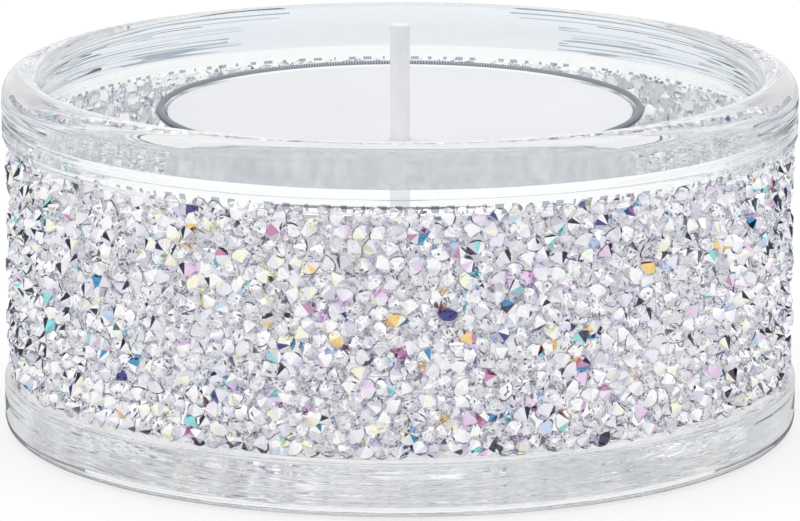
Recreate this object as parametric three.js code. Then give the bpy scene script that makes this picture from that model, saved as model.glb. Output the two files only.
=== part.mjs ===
// Crystal tealight holder: a clear pressed-glass body with a thick foot and a rolled lip, a recess
// round its side filled with a strip of pointed crystals, and a standard tealight standing loose
// in its bowl.
// Millimetres, +Z up. The origin is the centre of the flat underside.

import * as THREE from 'three';

// Driving dimensions

const glass = {
  radius: 32,              // outside of the lip and of the foot
  footHeight: 4.4,         // underside to the shoulder below the recess
  bandHeight: 19.2,        // shoulder to the lip's lower edge
  lipHeight: 5.5,          // lip's lower edge to its crest
  recessDepth: 2.0,        // how far the recess lies inside the lip
  recessUndercut: 1.9,     // how far the recess's ceiling rises from the lip's edge to its inner end
  wallThickness: 1.1,      // glass behind the recess
  floorThickness: 9.7,     // underside to the floor of the bowl
  footRound: 1.2,          // lower edge of the foot
  shoulderRound: 0.25,     // upper edge of the foot
  lipEdgeRound: 0.7,       // lower edge of the lip
  lipCrestRound: 1.8,      // outer side of the crest
  bowlFillet: 2.0,         // corner between the bowl's wall and floor
};

const strip = {
  adhesiveThickness: 0.1,
  filmThickness: 0.15,
  bedThickness: 0.17,      // resin bed that the crystals' crowns sit in
  crystalPitch: 1.8,       // from one crystal to the next along a row
  crystalPoint: 0.75,      // girdle to point
  pointLean: 0.26,         // how far a point leans off its crystal's centre, at most
  pointUnevenness: 0.14,   // how much the points differ in height
};

const candle = {
  cupRadius: 19,
  cupHeight: 16.1,         // underside to the middle of the rolled rim
  cupWall: 0.25,
  cupCorner: 1.0,          // outside corner between the cup's bottom and side
  rimBead: 0.29,           // radius of the rolled rim
  rimReach: 0.33,          // how far the bead's middle lies outside the cup's side
  rimFlare: 0.5,           // height over which the side flares into the bead
  waxBelowRim: 0.12,       // bead's middle down to the edge of the wax
  waxDish: 2.9,            // edge of the wax down to its middle
  wickRadius: 0.8,
  wickAboveWax: 9.9,       // middle of the wax up to the cut end of the wick
  tabRadius: 6.3,          // metal foot of the wick
  tabThickness: 0.3,
  neckRadius: 1.35,
  neckHeight: 3.2,
};

const clearance = {
  bond: 0.05,              // between the bonded layers of the strip
  bed: 0.08,               // between the carrier film and the crystals' bed
  stripEnd: 0.15,          // strip to the shoulder and to the ceiling of the recess
  crystalPoint: 0.3,       // points to the ceiling of the recess
  seat: 0.05,              // tealight to the floor of the bowl
  wax: 0.05,               // wax to its cup, its wick and the wick's foot
  wick: 0.05,              // wick in the neck of its foot
};

// How finely round shapes are divided

const ROUND_SEGMENTS = 48;
const WICK_SEGMENTS = 20;
const FOOT_SEGMENTS = 32;
const SMALL_ARC_STEPS = 2;
const WIDE_ARC_STEPS = 3;
const CREST_STEPS = 4;
const BEAD_STEPS = 6;
const BEAD_START = -125;                  // degrees, where the cup's side runs into the bead
const DISH_SHARES = [1, 0.8, 0.55, 0.3];  // shares of the wax's radius that its top is drawn at

// Heights and radii that follow from the driving dimensions

const shoulderZ = glass.footHeight;
const lipEdgeZ = shoulderZ + glass.bandHeight;
const crestZ = lipEdgeZ + glass.lipHeight;
const ceilingZ = lipEdgeZ + glass.recessUndercut;
const recessRadius = glass.radius - glass.recessDepth;
const bowlRadius = recessRadius - glass.wallThickness;
const lipEdgeRadius = glass.radius - glass.lipEdgeRound;
const crestRadius = glass.radius - glass.lipCrestRound;

const ceilingSlope = glass.recessUndercut / (lipEdgeRadius - recessRadius);
const ceilingHeightAt = (radius) => ceilingZ - (radius - recessRadius) * ceilingSlope;
const ceilingRadiusAt = (height) => recessRadius + (ceilingZ - height) / ceilingSlope;

const adhesiveInner = recessRadius + clearance.bond;
const adhesiveOuter = adhesiveInner + strip.adhesiveThickness;
const filmInner = adhesiveOuter + clearance.bond;
const filmOuter = filmInner + strip.filmThickness;
const bedInner = filmOuter + clearance.bed;
const girdleRadius = bedInner + strip.bedThickness;

const stripBottomZ = shoulderZ + clearance.stripEnd;
const filmTopZ = ceilingHeightAt(filmOuter) - clearance.stripEnd;
const crystalTopZ = ceilingHeightAt(girdleRadius) - clearance.crystalPoint;

// Shared helpers

// Points of an arc about (x, z), from one angle to another in degrees.
function arc(x, z, radius, from, to, steps) {
  const points = [];
  for (let i = 0; i <= steps; i += 1) {
    const angle = THREE.MathUtils.degToRad(THREE.MathUtils.lerp(from, to, i / steps));
    points.push([x + radius * Math.cos(angle), z + radius * Math.sin(angle)]);
  }
  return points;
}

// Turns a profile of [radius, height] points round the Z axis.
function turned(profile, segments = ROUND_SEGMENTS) {
  const points = profile.map(([radius, height]) => new THREE.Vector2(radius, height));
  return new THREE.LatheGeometry(points, segments).rotateX(Math.PI / 2);
}

// A plain ring of rectangular section.
function ring(inner, outer, bottom, top) {
  return turned([[inner, bottom], [outer, bottom], [outer, top], [inner, top], [inner, bottom]]);
}

function finish(colour, roughness, metalness, opacity = 1) {
  return new THREE.MeshStandardMaterial({
    color: colour, roughness, metalness, opacity, transparent: opacity < 1,
  });
}

function piece(name, geometry, material) {
  const mesh = new THREE.Mesh(geometry, material);
  mesh.name = name;
  return mesh;
}

// A scattered number between 0 and 1, always the same for one crystal and one trait of it.
function scatter(crystal, trait) {
  const value = Math.sin(crystal * 12.9898 + trait * 78.233) * 43758.5453;
  return value - Math.floor(value);
}

// Glass body

function glassBody() {
  const crestInnerRound = crestRadius - bowlRadius;
  const shoulder = glass.shoulderRound;
  return turned([
    [0, 0],
    ...arc(glass.radius - glass.footRound, glass.footRound, glass.footRound, -90, 0, WIDE_ARC_STEPS),
    ...arc(glass.radius - shoulder, shoulderZ - shoulder, shoulder, 0, 90, SMALL_ARC_STEPS),
    [recessRadius, shoulderZ],
    [recessRadius, ceilingZ],
    ...arc(lipEdgeRadius, lipEdgeZ + glass.lipEdgeRound, glass.lipEdgeRound,
      -90, 0, SMALL_ARC_STEPS),
    ...arc(crestRadius, crestZ - glass.lipCrestRound, glass.lipCrestRound,
      0, 90, CREST_STEPS),
    ...arc(crestRadius, crestZ - crestInnerRound, crestInnerRound,
      90, 180, WIDE_ARC_STEPS).slice(1),
    ...arc(bowlRadius - glass.bowlFillet, glass.floorThickness + glass.bowlFillet,
      glass.bowlFillet, 0, -90, WIDE_ARC_STEPS),
    [0, glass.floorThickness],
  ]);
}

// Crystal strip

// The crystals stand in staggered rows on a resin bed. Each is a six-sided point over its own
// hexagon of the girdle surface. Every zigzag border between two rows is shared by both, and its
// corners lie half a pitch apart.
function crystalBed() {
  const columns = Math.round((2 * Math.PI * girdleRadius) / strip.crystalPitch);
  const corners = 2 * columns;
  const span = crystalTopZ - stripBottomZ;
  const side = (2 * Math.PI * girdleRadius) / columns / Math.sqrt(3);
  const rows = Math.max(1, Math.round((span / side - 0.5) / 1.5));
  const rise = span / (1.5 * rows + 0.5);
  const positions = [];
  const triangles = [];

  const add = (radius, turn, height) => {
    const angle = (turn / corners) * 2 * Math.PI;
    positions.push(radius * Math.cos(angle), radius * Math.sin(angle), height);
    return positions.length / 3 - 1;
  };
  const rowMiddle = (row) => stripBottomZ + rise * (1 + 1.5 * row);
  const border = (row, radius) => {
    const indices = [];
    for (let corner = 0; corner < corners; corner += 1) {
      const low = (corner - row) % 2 === 0;
      indices.push(add(radius, corner, rowMiddle(row) - (low ? rise : rise / 2)));
    }
    return (corner) => indices[(corner + corners) % corners];
  };

  const borders = [];
  for (let row = 0; row <= rows; row += 1) borders.push(border(row, girdleRadius));
  for (let row = 0; row < rows; row += 1) {
    const below = borders[row];
    const above = borders[row + 1];
    for (let column = 0; column < columns; column += 1) {
      const middle = 2 * column + (row % 2);
      const crystal = row * columns + column;
      const lean = 2 * Math.PI * scatter(crystal, 1);
      const reach = strip.pointLean * scatter(crystal, 2);
      const height = rowMiddle(row) + reach * Math.sin(lean);
      const point = girdleRadius + strip.crystalPoint
        - strip.pointUnevenness * scatter(crystal, 3);
      const radius = Math.min(point, ceilingRadiusAt(height + clearance.crystalPoint));
      const turn = middle + (reach * Math.cos(lean) * corners) / (2 * Math.PI * girdleRadius);
      const tip = add(radius, turn, height);
      const rim = [below(middle), below(middle + 1), above(middle + 1),
        above(middle), above(middle - 1), below(middle - 1)];
      rim.forEach((corner, i) => triangles.push(corner, rim[(i + 1) % rim.length], tip));
    }
  }

  // The bed's back and its two zigzag edges close the solid.
  const backBelow = border(0, bedInner);
  const backAbove = border(rows, bedInner);
  const quad = (a, b, c, d) => triangles.push(a, b, c, a, c, d);
  for (let corner = 0; corner < corners; corner += 1) {
    const next = corner + 1;
    quad(backBelow(next), backBelow(corner), backAbove(corner), backAbove(next));
    quad(backBelow(corner), backBelow(next), borders[0](next), borders[0](corner));
    quad(borders[rows](corner), borders[rows](next), backAbove(next), backAbove(corner));
  }

  const geometry = new THREE.BufferGeometry();
  geometry.setAttribute('position', new THREE.Float32BufferAttribute(positions, 3));
  geometry.setIndex(triangles);
  geometry.computeVertexNormals();
  return geometry;
}

// Tealight, modelled from its own underside

const waxEdgeZ = candle.cupHeight - candle.waxBelowRim;
const waxMiddleZ = waxEdgeZ - candle.waxDish;
const wickBottomZ = candle.cupWall + clearance.wax + candle.tabThickness + clearance.wick;

function candleCup() {
  const inner = candle.cupRadius - candle.cupWall;
  const innerCorner = candle.cupCorner - candle.cupWall;
  const flareZ = candle.cupHeight - candle.rimFlare;
  return turned([
    [0, 0],
    ...arc(candle.cupRadius - candle.cupCorner, candle.cupCorner, candle.cupCorner,
      -90, 0, SMALL_ARC_STEPS),
    [candle.cupRadius, flareZ],
    ...arc(candle.cupRadius + candle.rimReach, candle.cupHeight, candle.rimBead,
      BEAD_START, 180, BEAD_STEPS),
    [inner, flareZ],
    ...arc(inner - innerCorner, candle.cupWall + innerCorner, innerCorner,
      0, -90, SMALL_ARC_STEPS),
    [0, candle.cupWall],
  ]);
}

// The wax fills the cup round the wick's foot, and its top sinks in a shallow curve: the depth
// below the edge grows with 1 - (r / edge radius) squared.
function candleWax() {
  const edge = candle.cupRadius - candle.cupWall - clearance.wax;
  const bottom = candle.cupWall + clearance.wax;
  const corner = candle.cupCorner - candle.cupWall;
  const hole = candle.wickRadius + clearance.wax;
  const neck = candle.neckRadius + clearance.wax;
  const tab = candle.tabRadius + clearance.wax;
  const tabTop = bottom + candle.tabThickness + clearance.wax;
  const neckTop = bottom + candle.tabThickness + candle.neckHeight + clearance.wax;
  const dish = DISH_SHARES.map((share) => [
    edge * share, waxEdgeZ - candle.waxDish * (1 - share * share),
  ]);
  return turned([
    [tab, bottom],
    ...arc(edge - corner, bottom + corner, corner, -90, 0, SMALL_ARC_STEPS),
    ...dish,
    [hole, waxMiddleZ],
    [hole, neckTop],
    [neck, neckTop],
    [neck, tabTop],
    [tab, tabTop],
    [tab, bottom],
  ]);
}

function wickFoot() {
  const bottom = candle.cupWall + clearance.wax;
  const tabTop = bottom + candle.tabThickness;
  const bore = candle.wickRadius + clearance.wick;
  return turned([
    [0, bottom],
    [candle.tabRadius, bottom],
    [candle.tabRadius, tabTop],
    [candle.neckRadius, tabTop],
    [candle.neckRadius, tabTop + candle.neckHeight],
    [bore, tabTop + candle.neckHeight],
    [bore, tabTop],
    [0, tabTop],
  ], FOOT_SEGMENTS);
}

function wick() {
  return turned([
    [0, wickBottomZ],
    [candle.wickRadius, wickBottomZ],
    [candle.wickRadius, waxMiddleZ + candle.wickAboveWax],
    [0, waxMiddleZ + candle.wickAboveWax],
  ], WICK_SEGMENTS);
}

// Assembly

const holder = new THREE.Group();
holder.add(
  piece('glass_body', glassBody(), finish(0xf3f6f8, 0.02, 0, 0.35)),
  piece('adhesive_layer', ring(adhesiveInner, adhesiveOuter, stripBottomZ, filmTopZ),
    finish(0xf4f4f2, 0.3, 0, 0.6)),
  piece('carrier_film', ring(filmInner, filmOuter, stripBottomZ, filmTopZ),
    finish(0xe9ebef, 0.4, 0)),
  piece('crystal_bed', crystalBed(), finish(0xe4e3ee, 0.05, 0)),
);

const tealight = new THREE.Group();
tealight.position.z = glass.floorThickness + clearance.seat;
tealight.add(
  piece('candle_cup', candleCup(), finish(0xa9b0b8, 0.35, 1)),
  piece('candle_wax', candleWax(), finish(0xeceef0, 0.45, 0)),
  piece('wick_foot', wickFoot(), finish(0xb4b8bc, 0.3, 1)),
  piece('wick', wick(), finish(0xdfe1e5, 0.8, 0)),
);

const assembly = new THREE.Group();
assembly.add(holder, tealight);

export default assembly;
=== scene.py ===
"""Crystal tealight holder: finishes, crystals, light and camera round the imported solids.

Lengths are in metres unless a name says otherwise, +Z is up and the camera looks along +Y.
"""

import logging
import math
from collections.abc import Callable, Sequence
from dataclasses import dataclass
from enum import Enum

import bpy
import numpy as np
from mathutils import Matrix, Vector


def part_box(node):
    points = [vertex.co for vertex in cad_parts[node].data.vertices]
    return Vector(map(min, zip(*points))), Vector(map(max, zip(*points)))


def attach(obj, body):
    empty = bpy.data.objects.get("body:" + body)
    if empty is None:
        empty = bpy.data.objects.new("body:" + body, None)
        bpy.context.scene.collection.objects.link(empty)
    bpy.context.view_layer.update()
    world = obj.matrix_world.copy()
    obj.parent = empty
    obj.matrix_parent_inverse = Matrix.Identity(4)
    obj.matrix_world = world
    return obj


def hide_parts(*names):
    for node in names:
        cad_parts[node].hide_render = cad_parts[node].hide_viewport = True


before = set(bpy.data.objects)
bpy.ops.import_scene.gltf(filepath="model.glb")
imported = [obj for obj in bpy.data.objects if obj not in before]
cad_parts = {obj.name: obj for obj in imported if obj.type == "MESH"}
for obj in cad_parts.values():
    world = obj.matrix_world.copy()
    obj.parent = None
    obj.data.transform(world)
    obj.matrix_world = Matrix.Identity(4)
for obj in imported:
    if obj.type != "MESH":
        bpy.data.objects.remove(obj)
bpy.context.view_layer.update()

Array = np.ndarray
Colour = tuple[float, float, float, float]
Material = bpy.types.Material
Socket = bpy.types.NodeSocket

MM = 0.001
RUN_ATTRIBUTE = "run"
TINT_ATTRIBUTE = "tint"
WHITE: Colour = (1, 1, 1, 1)
BLACK: Colour = (0, 0, 0, 1)

# Points of a profile that are closer than this are one point
SAME_PLACE = 1e-8

# The part of a noise's range over which one colour goes into the other
NOISE_SPAN = (0.3, 0.7)

log = logging.getLogger("crystal_tealight_holder")


class Body(str, Enum):
    """The two bodies that pieces ride on."""

    HOLDER = "holder"
    TEALIGHT = "tealight"


def linear(red: float, green: float, blue: float) -> Colour:
    """Turns a display colour of 0 to 255 into a linear one with full alpha.

    Args:
        red, green, blue: the display values.

    Returns:
        The linear red, green and blue, and 1 for alpha.
    """
    shares = np.array([red, green, blue]) / 255
    values = np.where(shares <= 0.04045, shares / 12.92, ((shares + 0.055) / 1.055) ** 2.4)
    return (*(float(value) for value in values), 1.0)


# Profiles in the plane of radius and height


def arc(centre: Sequence[float], radius: float, start: float, end: float, steps: int) -> Array:
    """Points of an arc: centre + radius * (cos a, sin a), with a going from start to end.

    Args:
        centre: radius and height of the arc's middle.
        radius: the arc's own radius.
        start, end: angles in degrees, anticlockwise from the outward direction.
        steps: how many chords the arc has.

    Returns:
        The points, one row each.
    """
    angles = np.radians(np.linspace(start, end, steps + 1))
    return np.array(centre) + radius * np.stack([np.cos(angles), np.sin(angles)], axis=1)


def straight(start: Sequence[float], end: Sequence[float], steps: int) -> Array:
    """Points evenly spaced on the line from start to end, both included."""
    shares = np.linspace(0, 1, steps + 1)[:, None]
    return np.array(start) * (1 - shares) + np.array(end) * shares


def joined(*parts: Array) -> Array:
    """Strings profile parts together and drops a point that repeats the one before it.

    Args:
        parts: the parts in order, each with one row for each point.

    Returns:
        The whole profile.
    """
    points = np.concatenate([np.atleast_2d(part) for part in parts])
    keep = np.ones(len(points), bool)
    keep[1:] = np.linalg.norm(np.diff(points, axis=0), axis=1) > SAME_PLACE
    return points[keep]


# Surfaces


@dataclass
class Surface:
    """A surface as whole arrays.

    points has a row for each vertex, and faces has an array for each number of corners, with a
    row of vertex numbers for each face. run is a coordinate that follows the surface. tints has a
    linear colour and finishes a material's number for each face, in the faces' order.
    """

    points: Array
    faces: list[Array]
    run: Array | None = None
    tints: Array | None = None
    finishes: Array | None = None

    def mesh(self, name: str) -> bpy.types.Mesh:
        """Puts the arrays into a new mesh.

        Args:
            name: the mesh's name.

        Returns:
            The mesh, with its attributes.
        """
        mesh = bpy.data.meshes.new(name)
        corners = np.concatenate([faces.ravel() for faces in self.faces])
        sizes = np.concatenate([np.full(len(faces), faces.shape[1]) for faces in self.faces])
        starts = np.concatenate([[0], np.cumsum(sizes)[:-1]])
        mesh.vertices.add(len(self.points))
        mesh.vertices.foreach_set("co", self.points.astype(np.float32).ravel())
        mesh.loops.add(len(corners))
        mesh.loops.foreach_set("vertex_index", corners.astype(np.int32))
        mesh.polygons.add(len(sizes))
        mesh.polygons.foreach_set("loop_start", starts.astype(np.int32))
        if self.finishes is not None:
            mesh.polygons.foreach_set("material_index", self.finishes.astype(np.int32))
        mesh.update(calc_edges=True)
        if self.run is not None:
            attribute = mesh.attributes.new(RUN_ATTRIBUTE, "FLOAT_VECTOR", "POINT")
            attribute.data.foreach_set("vector", self.run.astype(np.float32).ravel())
        if self.tints is not None:
            attribute = mesh.attributes.new(TINT_ATTRIBUTE, "FLOAT_COLOR", "CORNER")
            tints = np.repeat(self.tints, sizes, axis=0)
            attribute.data.foreach_set("color", tints.astype(np.float32).ravel())
        mesh.validate()
        return mesh

    def without_loose_points(self) -> "Surface":
        """Drops the vertices that no face uses and numbers the rest again.

        Returns:
            The surface without them.
        """
        used = np.unique(np.concatenate([faces.ravel() for faces in self.faces]))
        places = np.zeros(len(self.points), int)
        places[used] = np.arange(len(used))
        return Surface(self.points[used], [places[faces] for faces in self.faces], self.run[used])


def turned(
    profile: Array,
    steps: int,
    closed: bool = False,
    relief: Callable[[Array, Array], Array] | None = None,
) -> Surface:
    """Turns a profile round the Z axis.

    Formula: the vertex for angle a and profile point (r, z) is (r cos a, r sin a, z). With a
    relief, the point first moves along the profile's outward normal by relief(a, s), where s is
    the distance along the profile. The run attribute is (R cos a, R sin a, s), with R the
    profile's widest radius. Two neighbouring profile points make a ring of faces, which are
    quads, or triangles where one of the two is on the axis.

    Args:
        profile: rows of radius and height, anticlockwise round the material.
        steps: how many angles a turn has.
        closed: whether the last profile point joins the first.
        relief: gives the outward shift for an angle and a distance along the profile.

    Returns:
        The closed surface. Profile points on the axis become single vertices.
    """
    angles = np.linspace(0, 2 * np.pi, steps, endpoint=False)[:, None]
    lengths = np.linalg.norm(np.diff(profile, axis=0), axis=1)
    along = np.concatenate([[0], np.cumsum(lengths)])[None, :]
    radius = np.repeat(profile[None, :, 0], steps, axis=0)
    height = np.repeat(profile[None, :, 1], steps, axis=0)
    if relief is not None:
        slope = np.gradient(profile, axis=0)
        slope /= np.maximum(np.linalg.norm(slope, axis=1, keepdims=True), 1e-12)
        shift = relief(angles, along)
        radius = radius + shift * slope[None, :, 1]
        height = height - shift * slope[None, :, 0]
    points = np.stack([radius * np.cos(angles), radius * np.sin(angles), height], axis=2)
    reach = float(profile[:, 0].max())
    run = np.stack(
        np.broadcast_arrays(reach * np.cos(angles), reach * np.sin(angles), along), axis=2
    )

    count = len(profile)
    numbers = np.arange(steps * count).reshape(steps, count)
    poles = profile[:, 0] < SAME_PLACE
    numbers[:, poles] = numbers[0, poles]
    following = np.roll(numbers, -1, axis=0)
    here = np.arange(count if closed else count - 1)
    there = (here + 1) % count
    corners = [numbers[:, here], following[:, here], following[:, there], numbers[:, there]]
    rings = np.stack(corners, axis=2).transpose(1, 0, 2)
    leaving, reaching = poles[here], poles[there]
    quads = rings[~leaving & ~reaching]
    triangles = np.concatenate([rings[leaving][..., [0, 2, 3]], rings[reaching][..., :3]])
    faces = [group.reshape(-1, group.shape[2]) for group in (quads, triangles) if len(group)]
    return Surface(points.reshape(-1, 3), faces, run.reshape(-1, 3)).without_loose_points()


def rotation(angles: Array, axis: int) -> Array:
    """Rotation matrices about one axis.

    Args:
        angles: an angle in radians for each matrix.
        axis: 1 turns about Y and 2 about Z.

    Returns:
        A 3 by 3 matrix for each angle.
    """
    first, second = ((2, 0), (0, 1))[axis - 1]
    matrices = np.zeros((len(angles), 3, 3))
    matrices[:, axis, axis] = 1
    matrices[:, first, first] = matrices[:, second, second] = np.cos(angles)
    matrices[:, second, first] = np.sin(angles)
    matrices[:, first, second] = -np.sin(angles)
    return matrices


def new_object(name: str, data: bpy.types.ID) -> bpy.types.Object:
    """Makes an object in the scene.

    Args:
        name: the object's name.
        data: its mesh, camera or lamp.

    Returns:
        The object, at the origin.
    """
    thing = bpy.data.objects.new(name, data)
    bpy.context.scene.collection.objects.link(thing)
    return thing


def add_piece(
    name: str,
    surface: Surface,
    materials: Sequence[Material],
    body: Body,
    node: str,
    crease_deg: float = 0.0,
) -> None:
    """Makes a piece of the part from a surface.

    Args:
        name: the piece's name.
        surface: its closed surface.
        materials: its finishes.
        body: the body that it rides on.
        node: the CAD node that it replaces.
        crease_deg: edges sharper than this stay sharp, and 0 leaves every face flat.
    """
    mesh = surface.mesh(name)
    if crease_deg:
        mesh.shade_smooth()
        mesh.set_sharp_from_angle(angle=math.radians(crease_deg))
    else:
        mesh.shade_flat()
    for material in materials:
        mesh.materials.append(material)
    piece = new_object(name, mesh)
    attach(piece, body.value)
    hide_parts(node)
    log.info("%s: %d faces", name, len(mesh.polygons))


# Node trees


class Tree:
    """A node tree with short calls that add nodes and join their sockets."""

    def __init__(self, tree: bpy.types.NodeTree) -> None:
        """Keeps the tree that nodes go into."""
        self.tree = tree

    def add(
        self, kind: str, inputs: dict[str | int, object] | None = None, **settings: object
    ) -> bpy.types.Node:
        """Adds a node.

        Args:
            kind: the node's type name.
            inputs: for each input socket, a value or the output socket that feeds it.
            settings: the node's own properties.

        Returns:
            The new node.
        """
        node = self.tree.nodes.new(kind)
        for key, value in settings.items():
            setattr(node, key, value)
        for key, value in (inputs or {}).items():
            if isinstance(value, Socket):
                self.tree.links.new(value, node.inputs[key])
            else:
                node.inputs[key].default_value = value
        return node

    def math(self, operation: str, *values: object) -> Socket:
        """Adds a Math node and returns its output."""
        return self.add("ShaderNodeMath", dict(enumerate(values)), operation=operation).outputs[0]

    def mixed(self, share: object, first: object, second: object) -> Socket:
        """Mixes two colours and returns the mix, which is the first one at a share of 0."""
        inputs = {0: share, 6: first, 7: second}
        return self.add("ShaderNodeMix", inputs, data_type="RGBA").outputs[2]

    def run(self) -> Socket:
        """Reads the coordinate that follows the surface."""
        return self.add("ShaderNodeAttribute", attribute_name=RUN_ATTRIBUTE).outputs["Vector"]

    def turn(self) -> tuple[Socket, Socket]:
        """Reads a turned surface's angle round the axis and its distance along the profile."""
        place = self.add("ShaderNodeSeparateXYZ", {0: self.run()}).outputs
        return self.math("ARCTAN2", place["Y"], place["X"]), place["Z"]

    def shown(self) -> tuple[Socket, Socket]:
        """Tells rays that show a surface from rays that light by it.

        Returns:
            A mask of glossy and transmission rays, and one with camera rays too.
        """
        path = self.add("ShaderNodeLightPath").outputs
        through = self.math("MAXIMUM", path["Is Glossy Ray"], path["Is Transmission Ray"])
        return through, self.math("MAXIMUM", path["Is Camera Ray"], through)


def new_group(
    name: str, inputs: dict[str, str], outputs: dict[str, str]
) -> tuple[bpy.types.NodeTree, Tree]:
    """Makes an empty node group.

    Args:
        name: the group's name.
        inputs, outputs: the kind of each named socket, which is Vector, Float or Color.

    Returns:
        The group and its tree.
    """
    group = bpy.data.node_groups.new(name, "ShaderNodeTree")
    for way, sockets in (("INPUT", inputs), ("OUTPUT", outputs)):
        for socket, kind in sockets.items():
            group.interface.new_socket(socket, in_out=way, socket_type=f"NodeSocket{kind}")
    return group, Tree(group)


@dataclass(frozen=True)
class Unevenness:
    """How a finish uses the unevenness group: its stretch per metre, its colours and detail."""

    stretch: tuple[float, float, float]
    light: Colour
    dark: Colour
    detail: float = 2.0
    along_surface: bool = False

    @staticmethod
    def group() -> bpy.types.NodeTree:
        """Builds, once, the group that mottles a colour and gives a height.

        A soft noise on the given coordinate, stretched by a Mapping node, mixes the dark colour
        into the light one and is put out as a height too.

        Returns:
            The node group, with outputs Colour and Height.
        """
        if "unevenness" in bpy.data.node_groups:
            return bpy.data.node_groups["unevenness"]
        group, tree = new_group(
            "unevenness",
            {"Vector": "Vector", "Stretch": "Vector", "Detail": "Float", "Light": "Color",
             "Dark": "Color"},
            {"Colour": "Color", "Height": "Float"},
        )
        given = tree.add("NodeGroupInput").outputs
        placed = tree.add(
            "ShaderNodeMapping", {"Vector": given["Vector"], "Scale": given["Stretch"]}
        )
        noise = tree.add(
            "ShaderNodeTexNoise",
            {"Vector": placed.outputs[0], "Scale": 1.0, "Detail": given["Detail"],
             "Roughness": 0.5},
        ).outputs["Fac"]
        spread = tree.add("ShaderNodeMapRange", {0: noise, 1: NOISE_SPAN[0], 2: NOISE_SPAN[1]}).outputs[0]
        mixed = tree.mixed(spread, given["Light"], given["Dark"])
        tree.add("NodeGroupOutput", {"Colour": mixed, "Height": noise})
        return group

    def place(self, tree: Tree) -> bpy.types.bpy_prop_collection:
        """Puts the group into a material.

        Args:
            tree: the material's node tree.

        Returns:
            The group's outputs.
        """
        if self.along_surface:
            source = tree.run()
        else:
            source = tree.add("ShaderNodeTexCoord").outputs["Object"]
        inputs = {
            "Vector": source,
            "Stretch": self.stretch,
            "Detail": self.detail,
            "Light": self.light,
            "Dark": self.dark,
        }
        return tree.add("ShaderNodeGroup", inputs, node_tree=self.group()).outputs


@dataclass(frozen=True)
class Shade:
    """A shade of the mosaic and the share of the patches that have at least this depth."""

    colour: Colour
    share: float


@dataclass(frozen=True)
class Mosaic:
    """How a finish uses the mosaic group, whose patches are painted inner reflections: its stretch
    per metre and its shades.
    """

    stretch: tuple[float, float, float] = (7500, 2600, 7500)
    pale: Shade = Shade(linear(243, 241, 251), 0.4)
    grey: Shade = Shade(linear(206, 203, 222), 0.15)
    dark: Shade = Shade(linear(48, 44, 66), 0.05)

    @staticmethod
    def group() -> bpy.types.NodeTree:
        """Builds, once, the group that breaks a surface into small plain patches of painted reflection.

        The given coordinate, stretched by a Mapping node, falls into Voronoi cells with a random
        level each. A cell takes the Dark, Grey or Pale colour where its level is below that
        share, in this order, and is white elsewhere.

        Returns:
            The node group, with output Colour.
        """
        if "mosaic" in bpy.data.node_groups:
            return bpy.data.node_groups["mosaic"]
        inputs = {"Vector": "Vector", "Stretch": "Vector"}
        for name in ("Pale", "Grey", "Dark"):
            inputs |= {name: "Color", f"{name} Share": "Float"}
        group, tree = new_group("mosaic", inputs, {"Colour": "Color"})
        given = tree.add("NodeGroupInput").outputs
        placed = tree.add(
            "ShaderNodeMapping", {"Vector": given["Vector"], "Scale": given["Stretch"]}
        )
        cells = tree.add("ShaderNodeTexVoronoi", {"Vector": placed.outputs[0], "Scale": 1.0})
        level = tree.add("ShaderNodeSeparateColor", {0: cells.outputs["Color"]}).outputs[0]
        colour = WHITE
        for name in ("Pale", "Grey", "Dark"):
            below = tree.math("LESS_THAN", level, given[f"{name} Share"])
            colour = tree.mixed(below, colour, given[name])
        tree.add("NodeGroupOutput", {"Colour": colour})
        return group

    def place(self, tree: Tree) -> Socket:
        """Puts the group into a material.

        Args:
            tree: the material's node tree.

        Returns:
            The group's colour.
        """
        inputs = {"Vector": tree.run(), "Stretch": self.stretch}
        for name, shade in (("Pale", self.pale), ("Grey", self.grey), ("Dark", self.dark)):
            inputs |= {name: shade.colour, f"{name} Share": shade.share}
        return tree.add("ShaderNodeGroup", inputs, node_tree=self.group()).outputs["Colour"]


# Finishes


@dataclass(frozen=True)
class Finish:
    """A finish made with one Principled shader, whose inputs each kind of finish gives."""

    name: str

    def inputs(self, tree: Tree) -> dict[str, object]:
        """Adds the finish's nodes to the tree and gives the shader's inputs."""
        raise NotImplementedError

    def material(self) -> Material:
        """Builds the material.

        Returns:
            The material, with the shader on its surface.
        """
        material = bpy.data.materials.new(self.name)
        material.use_nodes = True
        material.node_tree.nodes.clear()
        tree = Tree(material.node_tree)
        shader = tree.add("ShaderNodeBsdfPrincipled", self.inputs(tree))
        tree.add("ShaderNodeOutputMaterial", {"Surface": shader.outputs[0]})
        return material


@dataclass(frozen=True)
class ClearGlass(Finish):
    """Fire-polished clear glass with faint flow lines from pressing.

    It takes the painted edge shade at slanting angles: painted shade that darkens its edges and outlines.
    """

    name: str = "clear glass"
    tint: Colour = linear(254, 255, 255)
    # The edge colour below is painted shade on the glass's edges and outlines, at slanting angles.
    painted_edge_shade: Colour = linear(20, 29, 40)
    edge_shade_start: float = 0.92
    ior: float = 1.5
    wave_depth: float = 0.05 * MM
    waves: Unevenness = Unevenness((25, 25, 1200), WHITE, BLACK, detail=1.5, along_surface=True)

    def inputs(self, tree: Tree) -> dict[str, object]:
        """Gives the shader's inputs.

        Args:
            tree: the material's node tree.

        Returns:
            For each input, its value or the socket that feeds it.
        """
        height = self.waves.place(tree)["Height"]
        bump = tree.add("ShaderNodeBump", {"Height": height, "Distance": self.wave_depth})
        # Painted shade: at slanting angles the colour goes to the dark edge colour.
        slant = tree.add("ShaderNodeLayerWeight", {"Blend": 0.5}).outputs["Facing"]
        edge = tree.add("ShaderNodeMapRange", {0: slant, 1: self.edge_shade_start, 2: 1.0}).outputs[0]
        return {
            "Base Color": tree.mixed(edge, self.tint, self.painted_edge_shade),
            "Roughness": 0.0,
            "IOR": self.ior,
            "Transmission Weight": 1.0,
            "Normal": bump.outputs[0],
        }


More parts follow.
